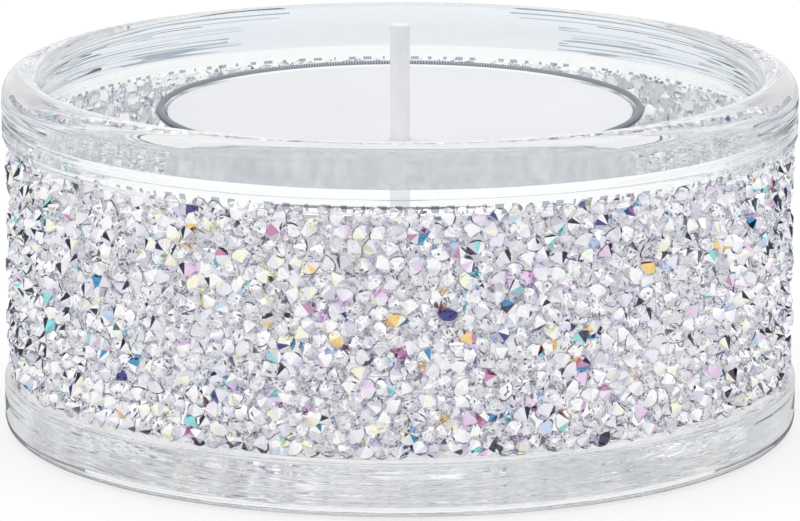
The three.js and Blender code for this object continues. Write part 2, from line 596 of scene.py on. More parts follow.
@dataclass(frozen=True)
class ThinLayer(Finish):
    """A thin clear layer behind the crystals. Its low index stands for its bond to the glass.

    It may have a row of dark slots, painted shade for the shaded gaps between the top row of
    crystals, at the distance slots_at along its profile.
    """

    clouds: Unevenness
    ior: float = 1.05
    slots_at: float = 0.0
    slots: int = 0
    slot_height: float = 0.12 * MM
    slot_share: float = 0.4
    share_change: float = 0.6
    slow_share: float = 0.31
    sways: float = 5.0
    sway_depth: float = 3.0
    # The slots' colour is painted shade for the gaps between the top row of crystals.
    slot_shade_colour: Colour = linear(118, 127, 137)

    def colour(self, tree: Tree) -> Socket:
        """Mixes the slots, which are painted shade, into the clouds.

        Formula: a slot lies where |distance along the profile - its place| is below its height,
        and where cos(slots times the angle + sway) is above the slot share + change, so that
        their lengths differ. The sway is its depth times sin(sways times the angle), and the
        change is share_change times sin(slow_share times slots times the angle).

        Args:
            tree: the material's node tree.

        Returns:
            The layer's colour.
        """
        clouds = self.clouds.place(tree)["Colour"]
        if not self.slots:
            return clouds
        angle, distance = tree.turn()
        swing = tree.math("SINE", tree.math("MULTIPLY", angle, self.sways))
        sway = tree.math("MULTIPLY", swing, self.sway_depth)
        wave = tree.math("COSINE", tree.math("MULTIPLY_ADD", angle, self.slots, sway))
        slow = round(self.slow_share * self.slots)
        slower = tree.math("SINE", tree.math("MULTIPLY", angle, slow))
        share = tree.math("MULTIPLY_ADD", slower, self.share_change, self.slot_share)
        height = tree.math("ABSOLUTE", tree.math("SUBTRACT", distance, self.slots_at))
        inside = tree.math("MULTIPLY", tree.math("GREATER_THAN", wave, share),
                           tree.math("LESS_THAN", height, self.slot_height))
        return tree.mixed(inside, clouds, self.slot_shade_colour)

    def inputs(self, tree: Tree) -> dict[str, object]:
        """Gives the shader's inputs.

        Args:
            tree: the material's node tree.

        Returns:
            For each input, its value or the socket that feeds it.
        """
        return {
            "Base Color": self.colour(tree),
            "Roughness": 0.0,
            "IOR": self.ior,
            "Transmission Weight": 1.0,
        }


@dataclass(frozen=True)
class CutCrystal(Finish):
    """Faceted crystal whose facets take their tints from the mesh.

    A mosaic stands for the many inner reflections. The tint's alpha is the mosaic's share.
    """

    mirror: float
    ior: float = 1.56
    mosaic: Mosaic = Mosaic()

    def inputs(self, tree: Tree) -> dict[str, object]:
        """Gives the shader's inputs.

        Args:
            tree: the material's node tree.

        Returns:
            For each input, its value or the socket that feeds it.
        """
        tint = tree.add("ShaderNodeAttribute", attribute_name=TINT_ATTRIBUTE).outputs
        return {
            "Base Color": tree.mixed(tint["Alpha"], tint["Color"], self.mosaic.place(tree)),
            "Metallic": self.mirror,
            "Roughness": 0.0,
            "IOR": self.ior,
            "Transmission Weight": 1.0,
        }


@dataclass(frozen=True)
class SheetMetal(Finish):
    """Thin drawn metal, clouded and slightly uneven.

    A rolled rim, between two distances along the surface, may be darker than the rest: a painted
    reflection darker over the rim's curve, and painted shade in the grooves between its ribs.
    """

    roughness: float
    clouds: Unevenness
    dent_depth: float = 0.01 * MM
    rim_span: tuple[float, float] | None = None
    rim_ribs: int = 0
    rim_roughness: float = 0.4
    # The rim's colours: painted darker reflection on its ribs and painted shade in its grooves.
    rib_reflection_colour: Colour = linear(182, 188, 198)
    groove_shade_colour: Colour = linear(84, 91, 102)

    def finish(self, tree: Tree, clouds: Socket) -> tuple[object, object]:
        """Mixes the rim's ribs and darker grooves into the clouds over the rim's span: painted reflection
        on the ribs and painted shade in the grooves.

        Formula: the share of the rib's colour is (1 + cos(ribs times the angle)) / 2, as in the
        relief of the ribs.

        Args:
            tree: the material's node tree.
            clouds: the colour away from the rim.

        Returns:
            What feeds the Base Color and the Roughness.
        """
        if self.rim_span is None:
            return clouds, self.roughness
        angle, distance = tree.turn()
        wave = tree.math("COSINE", tree.math("MULTIPLY", angle, self.rim_ribs))
        rib = tree.math("MULTIPLY_ADD", wave, 0.5, 0.5)
        ribs = tree.mixed(rib, self.groove_shade_colour, self.rib_reflection_colour)
        start, end = self.rim_span
        middle = tree.math("SUBTRACT", distance, (start + end) / 2)
        near = tree.math("LESS_THAN", tree.math("ABSOLUTE", middle), (end - start) / 2)
        roughness = {0: near, 2: self.roughness, 3: self.rim_roughness}
        return tree.mixed(near, clouds, ribs), tree.add("ShaderNodeMix", roughness).outputs[0]

    def inputs(self, tree: Tree) -> dict[str, object]:
        """Gives the shader's inputs.

        Args:
            tree: the material's node tree.

        Returns:
            For each input, its value or the socket that feeds it.
        """
        uneven = self.clouds.place(tree)
        bump = tree.add("ShaderNodeBump", {"Height": uneven["Height"], "Distance": self.dent_depth})
        colour, roughness = self.finish(tree, uneven["Colour"])
        return {
            "Base Color": colour,
            "Metallic": 1.0,
            "Roughness": roughness,
            "Normal": bump.outputs[0],
        }


@dataclass(frozen=True)
class SoftSolid(Finish):
    """A pale, slightly waxy solid such as the wax itself or its waxed wick."""

    roughness: float
    clouds: Unevenness
    grain_depth: float = 0.02 * MM
    specular: float = 0.35

    def inputs(self, tree: Tree) -> dict[str, object]:
        """Gives the shader's inputs.

        Args:
            tree: the material's node tree.

        Returns:
            For each input, its value or the socket that feeds it.
        """
        uneven = self.clouds.place(tree)
        bump = tree.add("ShaderNodeBump", {"Height": uneven["Height"], "Distance": self.grain_depth})
        return {
            "Base Color": uneven["Colour"],
            "Roughness": self.roughness,
            "Specular IOR Level": self.specular,
            "Normal": bump.outputs[0],
        }


# Glass body


@dataclass
class HolderGlass:
    """The pressed-glass body: foot, recessed band, rolled lip and bowl."""

    foot_height: float = 4.4 * MM
    band_height: float = 19.2 * MM
    recess_depth: float = 2.0 * MM
    recess_undercut: float = 1.9 * MM
    wall_thickness: float = 1.1 * MM
    floor_thickness: float = 9.7 * MM
    foot_round: float = 1.2 * MM
    shoulder_round: float = 0.25 * MM
    lip_edge_round: float = 0.7 * MM
    lip_crest_round: float = 1.8 * MM
    bowl_fillet: float = 2.0 * MM
    crease_deg: float = 32.0
    steps: int = 288
    finish: ClearGlass = ClearGlass()

    def __post_init__(self) -> None:
        """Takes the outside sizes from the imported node."""
        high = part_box("glass_body")[1]
        self.radius = high.x
        self.crest = high.z
        self.lip_edge = self.foot_height + self.band_height
        self.ceiling = self.lip_edge + self.recess_undercut
        self.recess_radius = self.radius - self.recess_depth
        self.bowl_radius = self.recess_radius - self.wall_thickness

    def profile(self) -> Array:
        """Works out the section from the middle of the underside round to the bowl's floor.

        Formula: arcs at the foot's lower edge and shoulder, the lip's edge and crest and the
        bowl's corner, joined by straight lines. The recess's ceiling slants up inwards.

        Returns:
            The section's points, anticlockwise round the glass.
        """
        crest_radius = self.radius - self.lip_crest_round
        inner_round = crest_radius - self.bowl_radius
        edge_radius = self.radius - self.lip_edge_round
        shoulder = self.shoulder_round
        fillet = self.bowl_fillet
        foot = arc((self.radius - self.foot_round, self.foot_round), self.foot_round, -90, 0, 10)
        ledge = arc((self.radius - shoulder, self.foot_height - shoulder), shoulder, 0, 90, 6)
        edge = arc((edge_radius, self.lip_edge + self.lip_edge_round), self.lip_edge_round, -90, 0, 8)
        outer = arc((crest_radius, self.crest - self.lip_crest_round), self.lip_crest_round, 0, 90, 16)
        inner = arc((crest_radius, self.crest - inner_round), inner_round, 90, 180, 14)
        corner = arc((self.bowl_radius - fillet, self.floor_thickness + fillet), fillet, 0, -90, 12)
        return joined(
            straight((0, 0), foot[0], 12),
            foot,
            straight(foot[-1], ledge[0], 5),
            ledge,
            straight(ledge[-1], (self.recess_radius, self.foot_height), 4),
            straight((self.recess_radius, self.foot_height), (self.recess_radius, self.ceiling), 12),
            straight((self.recess_radius, self.ceiling), edge[0], 4),
            edge,
            straight(edge[-1], outer[0], 5),
            outer,
            inner,
            straight(inner[-1], corner[0], 12),
            corner,
            straight(corner[-1], (0, self.floor_thickness), 12),
        )

    def build(self) -> None:
        """Makes the glass and puts it in place of its CAD node."""
        glass = turned(self.profile(), self.steps)
        finishes = [self.finish.material()]
        add_piece("glass_holder", glass, finishes, Body.HOLDER, "glass_body",
                  self.crease_deg)


# Crystal strip


@dataclass(frozen=True)
class Tint:
    """A facet colour and how often it comes up, against the other tints."""

    colour: Colour
    share: float


def tint_table(*rows: tuple[float, float, float, float]) -> tuple[Tint, ...]:
    """Makes a tint of each row of display red, green and blue, and share."""
    return tuple(Tint(linear(*row[:3]), row[3]) for row in rows)


@dataclass(frozen=True)
class CrystalKind:
    """One kind of crystal in the strip.

    coated_share is the share of the facets that are coated. patched is the mosaic's share on
    the facets.
    """

    name: str
    coated_share: float
    patched: float
    tints: tuple[Tint, ...]


CLEAR = CrystalKind(
    name="clear_crystals",
    coated_share=0.4,
    patched=0.8,
    tints=tint_table(
        (255, 255, 255, 70), (238, 236, 246, 20), (252, 252, 238, 6), (196, 226, 240, 2),
        (190, 160, 120, 1),
    ),
)

COATED = CrystalKind(
    name="coated_crystals",
    coated_share=0.95,
    patched=0.1,
    tints=tint_table(
        (255, 255, 255, 42), (240, 238, 248, 28), (254, 254, 230, 8), (218, 216, 230, 8),
        (240, 210, 242, 3.0), (200, 132, 176, 0.9), (142, 228, 230, 1.6), (30, 140, 190, 0.7),
        (196, 220, 252, 2.0), (253, 214, 130, 1.2), (20, 20, 124, 0.8), (30, 18, 60, 0.5),
        (120, 56, 26, 0.35),
    ),
)


@dataclass
class CrystalStrip:
    """The adhesive, its film and the crystals that stand on it, points outwards.

    clear_share is the share of the crystals that are clear. bevel_shade_tints are the small
    bevels' tints, the grey and dark ones painted shade round each crystal's girdle. back_patched
    is the mosaic's share on a crystal's crown and table.
    same_as_neighbour is the chance that a facet takes the tint of the one before it.
    """

    facets: int = 8
    crystal_radius: float = 0.85 * MM
    spacing: float = 1.34 * MM
    pavilion_slope: float = 0.92
    girdle: float = 0.07 * MM
    bevel_share: float = 0.93
    crown: float = 0.18 * MM
    table_share: float = 0.6
    size_spread: float = 0.05
    lean_deg: float = 24.0
    most_lean_deg: float = 42.0
    clear_share: float = 0.5
    off_film: float = 0.04 * MM
    seat_spread: float = 0.32 * MM
    top_clearance: float = 0.85 * MM
    scatter: float = 0.35
    elbow_room: float = 1.04
    neighbour_reach: float = 1.6
    overhang: float = 0.6
    push_share: float = 0.45
    settle_spells: int = 8
    settle_rounds: int = 20
    adhesive_thickness: float = 0.1 * MM
    film_thickness: float = 0.15 * MM
    slots_below_end: float = 0.45 * MM
    crease_deg: float = 40.0
    steps: int = 288
    seed: int = 11
    back_patched: float = 0.15
    same_as_neighbour: float = 0.3
    # Bevel tints: the grey and dark ones are painted shade round each crystal's girdle.
    bevel_shade_tints: tuple[Tint, ...] = tint_table(
        (252, 252, 254, 50), (216, 214, 228, 28), (144, 142, 162, 14), (52, 50, 68, 8),
    )
    adhesive_clouds: Unevenness = Unevenness((900, 900, 900), WHITE, linear(254, 254, 253))
    film_clouds: Unevenness = Unevenness((1500, 1500, 1500), WHITE, linear(254, 254, 255))
    cut: CutCrystal = CutCrystal("clear crystal", mirror=0.55)
    coating: CutCrystal = CutCrystal("coated crystal", mirror=0.92)

    def __post_init__(self) -> None:
        """Takes the strip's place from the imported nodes."""
        self.adhesive_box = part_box("adhesive_layer")
        self.film_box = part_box("carrier_film")
        self.bed_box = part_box("crystal_bed")
        self.film_radius = self.film_box[1].x
        self.random = np.random.default_rng(self.seed)

    def build_layers(self) -> None:
        """Makes the adhesive and the film, thin rings of rectangular section."""
        low, high = self.film_box[0].z, self.film_box[1].z
        # The film's row of dark slots is painted shade for the gaps between the top row of crystals.
        film = ThinLayer(
            "carrier film",
            self.film_clouds,
            slots_at=high - low + self.film_thickness + self.slots_below_end,
            slots=round(2 * math.pi * self.film_radius / self.spacing),
        )
        adhesive = ThinLayer("clear adhesive", self.adhesive_clouds)
        for name, finish, outer, thickness, slot, node in (
            ("adhesive_film_bond", adhesive, self.adhesive_box[1].x, self.adhesive_thickness,
             "clear_adhesive", "adhesive_layer"),
            ("crystal_carrier_film", film, self.film_radius, self.film_thickness,
             "carrier_film", "carrier_film"),
        ):
            inner = outer - thickness
            section = joined(
                straight((outer, low), (outer, high), 8),
                straight((outer, high), (inner, high), 1),
                straight((inner, high), (inner, low), 8),
            )
            ring = turned(section, self.steps, closed=True)
            add_piece(name, ring, [finish.material()], Body.HOLDER, node, self.crease_deg)

    def seats(self) -> Array:
        """Packs the crystals' middles closely but without rows.

        Formula: places start in rows, scattered. In each round, two that are closer than the
        spacing times the elbow room push each other apart by a share of what is missing, round
        the band's seam too, and the band's edges hold them in. A crystal that stands further
        out than its neighbour may overhang it by a share of that.

        Returns:
            A row for each crystal: its distance round the band, its height and how much
            further out it stands.
        """
        around = 2 * np.pi * self.film_radius
        low = self.bed_box[0].z + self.crystal_radius
        high = self.bed_box[1].z - self.top_clearance
        columns = round(around / self.spacing)
        rows = int((high - low) / (self.spacing * math.sqrt(3) / 2)) + 1
        row, column = np.meshgrid(np.arange(rows), np.arange(columns), indexing="ij")
        u = (column + 0.5 * (row % 2)) * around / columns
        z = low + row * (high - low) / (rows - 1)
        places = np.stack([u.ravel(), z.ravel()], axis=1)
        places += self.random.normal(0, self.scatter * self.spacing, places.shape)
        off = self.seat_spread * self.random.random(len(places))
        for _ in range(self.settle_spells):
            gaps = np.abs(places[:, None, :] - places[None, :, :])
            gaps[..., 0] = np.minimum(gaps[..., 0], around - gaps[..., 0])
            near = (gaps < self.neighbour_reach * self.spacing).all(axis=2)
            first, second = np.nonzero(np.triu(near, 1))
            overhang = self.overhang * np.abs(off[first] - off[second])
            wanted = self.elbow_room * self.spacing - overhang
            for _ in range(self.settle_rounds):
                gap = places[first] - places[second]
                gap[:, 0] -= around * np.round(gap[:, 0] / around)
                distance = np.linalg.norm(gap, axis=1, keepdims=True) + 1e-9
                push = self.push_share * gap * np.clip(wanted[:, None] / distance - 1, 0, None)
                np.add.at(places, first, push)
                np.add.at(places, second, -push)
                places[:, 1] = np.clip(places[:, 1], low, high)
        return np.column_stack([places, off])

    def template(self) -> Surface:
        """One upright crystal of radius 1, its point along +Z.

        Formula: the pavilion ends at b, the bevel share, and its point stands at height p b, p
        being its slope. Each of its n facets is the plane z = p (b - x), with x measured towards
        the facet's middle, so its lower edge rises to p b (1 - cos(180 / n degrees)) between two
        facets. The bevels go on from there to radius 1 at the girdle.

        Returns:
            The crystal, with a number for each face in place of a tint: 0 to n - 1 for the
            pavilion's facets, n for the crown and table, and n + 1 onwards for the bevels.
        """
        facets, unit, ends = self.facets, self.crystal_radius, self.bevel_share
        edge = np.arange(2 * facets)
        angles = edge * np.pi / facets
        circle = np.stack([np.cos(angles), np.sin(angles)], axis=1)
        rise = self.pavilion_slope * ends * (1 - math.cos(math.pi / facets))
        table = self.table_share * circle[::2]
        points = np.concatenate(
            [
                [[0, 0, self.pavilion_slope * ends]],
                np.column_stack([circle * ends, np.where(edge % 2 == 0, rise, 0)]),
                np.column_stack([circle, np.full(2 * facets, -self.girdle / unit)]),
                np.column_stack([table, np.full(facets, -(self.girdle + self.crown) / unit)]),
            ]
        )
        upper, under, top = 1 + edge, 1 + 2 * facets + edge, 1 + 4 * facets + np.arange(facets)
        here, middle = upper[::2], upper[1::2]
        pavilion = np.stack([np.zeros(facets, int), here, middle, np.roll(here, -1)], axis=1)
        side = np.stack([under, np.roll(under, -1), np.roll(upper, -1), upper], axis=1)
        start, halfway, end = under[::2], under[1::2], np.roll(under[::2], -1)
        following = np.roll(top, -1)
        crown = np.concatenate(
            [
                np.stack([top, halfway, start], axis=1),
                np.stack([top, following, halfway], axis=1),
                np.stack([following, end, halfway], axis=1),
            ]
        )
        quads = np.concatenate([pavilion, side])
        faces = [quads, crown, top[::-1][None, :]]
        numbers = np.full(sum(len(group) for group in faces), facets)
        numbers[:facets] = np.arange(facets)
        numbers[facets:len(quads)] = facets + 1 + edge
        return Surface(points, faces, tints=numbers)

    def stands(self, seats: Array) -> tuple[Array, Array]:
        """Turns each crystal outwards, spins it and lets it lean.

        Formula: the axes are the band's tangent, up and outward directions, spun by a random
        angle about the outward one, then leant by a random small angle about a random direction.

        Args:
            seats: distance round the band, height and further stand-out of each crystal.

        Returns:
            A 3 by 3 matrix of axes for each crystal, and the middle of each crystal's girdle.
        """
        count = len(seats)
        angle = seats[:, 0] / self.film_radius - np.pi / 2
        zero, one = np.zeros(count), np.ones(count)
        outward = np.stack([np.cos(angle), np.sin(angle), zero], axis=1)
        tangent = np.stack([-np.sin(angle), np.cos(angle), zero], axis=1)
        up = np.stack([zero, zero, one], axis=1)
        axes = np.stack([tangent, up, outward], axis=2)
        lean = np.radians(np.minimum(self.random.rayleigh(self.lean_deg, count), self.most_lean_deg))
        towards = self.random.uniform(0, 2 * np.pi, count)
        spin = self.random.uniform(0, 2 * np.pi, count)
        turn = rotation(towards, 2) @ rotation(lean, 1) @ rotation(spin - towards, 2)
        dip = self.table_share * self.crystal_radius * np.sin(lean)
        off = self.off_film + self.crown + self.girdle + dip + seats[:, 2]
        middles = outward * (self.film_radius + off)[:, None]
        middles[:, 2] = seats[:, 1]
        return axes @ turn, middles

    def facet_tints(self, kind: CrystalKind, count: int) -> Array:
        """Draws the tints of the faces.

        A facet takes a tint by the kind's shares, or keeps the one of the facet before it, and
        so does a bevel.

        Args:
            kind: the kind of crystal.
            count: how many crystals there are.

        Returns:
            For each crystal, a colour for each facet, one for its crown and table, and a colour
            for each bevel. Their alpha is the mosaic's share.
        """
        drawn = []
        for choices, number, patched in (
            (kind.tints, self.facets, kind.patched),
            ((Tint(WHITE, 1),), 1, self.back_patched),
            (self.bevel_shade_tints, 2 * self.facets, 0),
        ):
            shares = np.array([tint.share for tint in choices])
            colours = np.array([(*tint.colour[:3], patched) for tint in choices])
            picks = self.random.choice(len(shares), (count, number), p=shares / shares.sum())
            same = self.random.random((count, number)) < self.same_as_neighbour
            for place in range(1, number):
                picks[:, place] = np.where(same[:, place], picks[:, place - 1], picks[:, place])
            drawn.append(colours[picks])
        return np.concatenate(drawn, axis=1)

    def crystals(self, kind: CrystalKind, axes: Array, middles: Array) -> Surface:
        """Repeats the template at every stand.

        Formula: each vertex is middle + axes times the template's vertex times the crystal's
        own radius. The run attribute has the vertex's place in the crystal itself, each crystal
        starting from a random place of its own. Crowns and tables are always coated, and bevels
        never.

        Args:
            kind: the kind of crystal.
            axes: a matrix of axes for each crystal.
            middles: the middle of each crystal's girdle.

        Returns:
            All the crystals of that kind as one surface.
        """
        one = self.template()
        count = len(middles)
        sizes = self.crystal_radius * (1 + self.size_spread * self.random.uniform(-1, 1, count))
        points = np.einsum("nij,vj->nvi", axes * sizes[:, None, None], one.points)
        points += middles[:, None, :]
        run = self.crystal_radius * one.points + self.random.uniform(-1, 1, (count, 1, 3))
        first = (np.arange(count) * len(one.points))[:, None, None]
        faces = [(first + group[None]).reshape(-1, group.shape[1]) for group in one.faces]
        drawn = self.facet_tints(kind, count)
        coated = self.random.random((count, drawn.shape[1])) < kind.coated_share
        coated[:, self.facets] = True
        coated[:, self.facets + 1:] = False
        numbers = np.split(one.tints, np.cumsum([len(group) for group in one.faces])[:-1])
        colours = np.concatenate([drawn[:, part].reshape(-1, 4) for part in numbers])
        finishes = np.concatenate([coated[:, part].ravel() for part in numbers])
        return Surface(points.reshape(-1, 3), faces, run.reshape(-1, 3), colours, finishes)

    def build_crystals(self) -> None:
        """Makes the clear and the coated crystals."""
        axes, middles = self.stands(self.seats())
        finishes = [self.cut.material(), self.coating.material()]
        clear = self.random.random(len(middles)) < self.clear_share
        for kind, chosen in ((CLEAR, clear), (COATED, ~clear)):
            surface = self.crystals(kind, axes[chosen], middles[chosen])
            add_piece(kind.name, surface, finishes, Body.HOLDER, "crystal_bed")
            log.info("%s: %d crystals", kind.name, int(chosen.sum()))


# Tealight


@dataclass
class Tealight:
    """The tealight that stands in the bowl: metal cup, wax, wick and the wick's foot."""

    cup_wall: float = 0.25 * MM
    cup_corner: float = 1.0 * MM
    rim_bead: float = 0.29 * MM
    rim_reach: float = 0.33 * MM
    rim_flare: float = 0.5 * MM
    rim_ribs: int = 520
    rib_depth: float = 0.05 * MM
    wax_dish: float = 2.9 * MM
    wax_climb: float = 0.35 * MM
    wick_climb: float = 0.5 * MM
    climb_reach: float = 0.4 * MM
    wick_gap: float = 0.05 * MM
    neck_hole: float = 1.4 * MM
    neck_height: float = 3.55 * MM
    tab_pocket: float = 6.35 * MM
    tab_height: float = 0.35 * MM
    wick_round: float = 0.12 * MM
    braid_depth: float = 0.02 * MM
    braid_pitch: float = 0.25 * MM
    bead_start_deg: float = -125.0
    crease_deg: float = 50.0
    wick_crease_deg: float = 60.0
    wax_top_points: int = 40
    wick_rings: int = 120
    steps_per_rib: int = 3
    wax_steps: int = 192
    wick_steps: int = 40
    aluminium_clouds: Unevenness = Unevenness(
        (500, 500, 500), linear(254, 254, 255), linear(250, 251, 252)
    )
    wax_finish: SoftSolid = SoftSolid(
        "white wax", 0.5, Unevenness((90, 90, 90), linear(238, 239, 242), linear(234, 235, 239))
    )
    cotton: SoftSolid = SoftSolid(
        "waxed cotton",
        0.7,
        Unevenness((900, 900, 350), linear(250, 250, 252), linear(240, 241, 244)),
    )
    tin: SheetMetal = SheetMetal(
        "tinned steel",
        0.3,
        Unevenness((700, 700, 700), linear(205, 208, 212), linear(186, 190, 195)),
    )

    def __post_init__(self) -> None:
        """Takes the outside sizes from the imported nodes."""
        self.cup_low, self.cup_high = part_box("candle_cup")
        self.wax_low, self.wax_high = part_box("candle_wax")
        self.wick_low, self.wick_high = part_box("wick")
        self.cup_radius = self.cup_high.x - self.rim_bead - self.rim_reach
        self.rim_height = self.cup_high.z - self.rim_bead

    def ribs(self, angles: Array, along: Array) -> Array:
        """The fine ribs of the rolled rim.

        Formula: the surface sinks by the rib depth times (1 - cos(ribs times the angle)) / 2, on
        the bead only, fading in over its ends.

        Args:
            angles: angles round the cup, in radians.
            along: distance along the cup's profile.

        Returns:
            The outward shift, which is never above 0.
        """
        start, end = self.bead_span
        share = np.clip((along - start) / (end - start), 0, 1)
        bead = np.sin(np.pi * share) ** 0.5
        return -self.rib_depth * bead * (1 - np.cos(self.rim_ribs * angles)) / 2

    def braid(self, angles: Array, along: Array) -> Array:
        """The shallow slanting grooves of the wick's braid.

        Formula: the surface sinks by the braid depth times (1 - |sin(2 a + s / pitch)|).

        Args:
            angles: angles a round the wick, in radians.
            along: distance s along the wick's profile.

        Returns:
            The outward shift, which is never above 0.
        """
        return -self.braid_depth * (1 - np.abs(np.sin(2 * angles + along / self.braid_pitch)))

    def cup(self) -> Surface:
        """The cup, its bottom corner rounded and its rim rolled outwards into a bead.

        Formula: a turned section of straight lines, an arc for the outer and the inner corner,
        and an arc for the bead, which starts where the wall flares out to it.

        Returns:
            The cup's surface.
        """
        bottom = self.cup_low.z
        inner = self.cup_radius - self.cup_wall
        inner_corner = self.cup_corner - self.cup_wall
        flare = self.rim_height - self.rim_flare
        bead_middle = (self.cup_radius + self.rim_reach, self.rim_height)
        outer_corner = arc(
            (self.cup_radius - self.cup_corner, bottom + self.cup_corner),
            self.cup_corner, -90, 0, 8,
        )
        before = joined(
            straight((0, bottom), outer_corner[0], 4),
            outer_corner,
            straight(outer_corner[-1], (self.cup_radius, flare), 6),
        )
        bead = arc(bead_middle, self.rim_bead, self.bead_start_deg, 180, 18)
        after = arc(
            (inner - inner_corner, bottom + self.cup_wall + inner_corner),
            inner_corner, 0, -90, 6,
        )
        profile = joined(
            before,
            bead,
            straight((inner, flare), after[0], 4),
            after,
            straight(after[-1], (0, bottom + self.cup_wall), 4),
        )
        lengths = np.concatenate([[0], np.cumsum(np.linalg.norm(np.diff(profile, axis=0), axis=1))])
        self.bead_span = (lengths[len(before)], lengths[len(before) + len(bead) - 1])
        return turned(profile, self.rim_ribs * self.steps_per_rib, relief=self.ribs)

    def wax(self) -> Surface:
        """The wax: a block round the wick with a dished top that climbs at the cup and the wick.

        Formula: at radius r the top lies below the edge by the larger of
        dish * (1 - (r / edge radius)^2) and wax climb * (1 - exp(-distance to the cup / reach)),
        and rises by wick climb * exp(-distance to the wick / reach).

        Returns:
            The wax's surface.
        """
        edge = self.wax_high.x
        low, high = self.wax_low.z, self.wax_high.z
        hole = self.wick_high.x + self.wick_gap
        neck, tab = self.neck_hole, self.tab_pocket
        tab_top, neck_top = low + self.tab_height, low + self.neck_height
        corner = self.cup_corner - self.cup_wall
        radius = np.linspace(edge, hole, self.wax_top_points)
        drop = self.wax_dish * (1 - (radius / edge) ** 2)
        climb = self.wick_climb * np.exp(-(radius - hole) / self.climb_reach)
        sink = self.wax_climb * (1 - np.exp(-(edge - radius) / self.climb_reach))
        top = np.column_stack([radius, high - np.maximum(drop, sink) + climb])
        profile = joined(
            [(tab, low)],
            arc((edge - corner, low + corner), corner, -90, 0, 5),
            top,
            [(hole, neck_top), (neck, neck_top), (neck, tab_top), (tab, tab_top)],
        )
        return turned(profile, self.wax_steps, closed=True)

    def wick(self) -> Surface:
        """The wick, a rod with rounded ends and the grooves of a braid.

        Formula: a turned line with an arc at each end, sunk by the braid's relief.

        Returns:
            The wick's surface.
        """
        radius, low, high = self.wick_high.x, self.wick_low.z, self.wick_high.z
        rounded = self.wick_round
        profile = joined(
            straight((0, low), (radius - rounded, low), 3),
            arc((radius - rounded, low + rounded), rounded, -90, 0, 4),
            straight((radius, low + rounded), (radius, high - rounded), self.wick_rings),
            arc((radius - rounded, high - rounded), rounded, 0, 90, 4),
            straight((radius - rounded, high), (0, high), 3),
        )
        return turned(profile, self.wick_steps, relief=self.braid)

    def build(self) -> None:
        """Makes the tealight's pieces and dresses the wick's foot."""
        cup = self.cup()
        # The rim's darker ribs and grooves are painted reflection and painted shade.
        aluminium = SheetMetal(
            "cup aluminium",
            roughness=0.17,
            clouds=self.aluminium_clouds,
            rim_span=self.bead_span,
            rim_ribs=self.rim_ribs,
        )
        crease, wick_crease = self.crease_deg, self.wick_crease_deg
        for name, surface, finish, slot, node, crease_deg in (
            ("tealight_cup", cup, aluminium, "cup_aluminium", "candle_cup", crease),
            ("tealight_wax", self.wax(), self.wax_finish, "white_wax", "candle_wax", crease),
            ("tealight_wick", self.wick(), self.cotton, "waxed_cotton", "wick", wick_crease),
        ):
            add_piece(name, surface, [finish.material()], Body.TEALIGHT, node, crease_deg)
        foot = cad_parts["wick_foot"].data
        foot.materials.clear()
        foot.materials.append(self.tin.material())
        log.info("wick_foot: dressed")


# Studio


@dataclass(frozen=True)
class Paint(Finish):
    """Matt paint for a card."""

    colour: Colour
    roughness: float = 0.9

    def inputs(self, tree: Tree) -> dict[str, object]:
        """Gives the paint's colour and roughness."""
        return {"Base Color": self.colour, "Roughness": self.roughness}


@dataclass(frozen=True)
class Floor(Finish):
    """A matt floor that is lifted to white, away from shadows, for the rays that show it.

    seen_colour is its colour for those rays, and colour the one that it lights the object by.
    lift is the glow that those rays get, and lift_through what glass and metal get on top.
    """

    colour: Colour = linear(240, 240, 241)
    seen_colour: Colour = linear(156, 156, 157)
    lift: float = 0.7
    lift_through: float = 0.06

    def inputs(self, tree: Tree) -> dict[str, object]:
        """Gives the shader's inputs.

        Args:
            tree: the material's node tree.

        Returns:
            For each input, its value or the socket that feeds it.
        """
        through, seen = tree.shown()
        glow = tree.math("MULTIPLY_ADD", through, self.lift_through, self.lift)
        return {
            "Base Color": tree.mixed(seen, self.colour, self.seen_colour),
            "Roughness": 1.0,
            "Specular IOR Level": 0.0,
            "Emission Color": WHITE,
            "Emission Strength": tree.math("MULTIPLY", seen, glow),
        }


@dataclass(frozen=True)
class Flag:
    """A dark card at each side: its angle from the back, its lower and upper edge, its width."""

    from_back_deg: float
    low: float
    high: float
    width: float


@dataclass(frozen=True)
class GroundArc:
    """A card on the floor at each side: its radii, its angles from the back and its colour."""

    inner: float
    outer: float
    colour: Colour
    start_deg: float = 7.0
    end_deg: float = 85.0
    height: float = 0.1 * MM


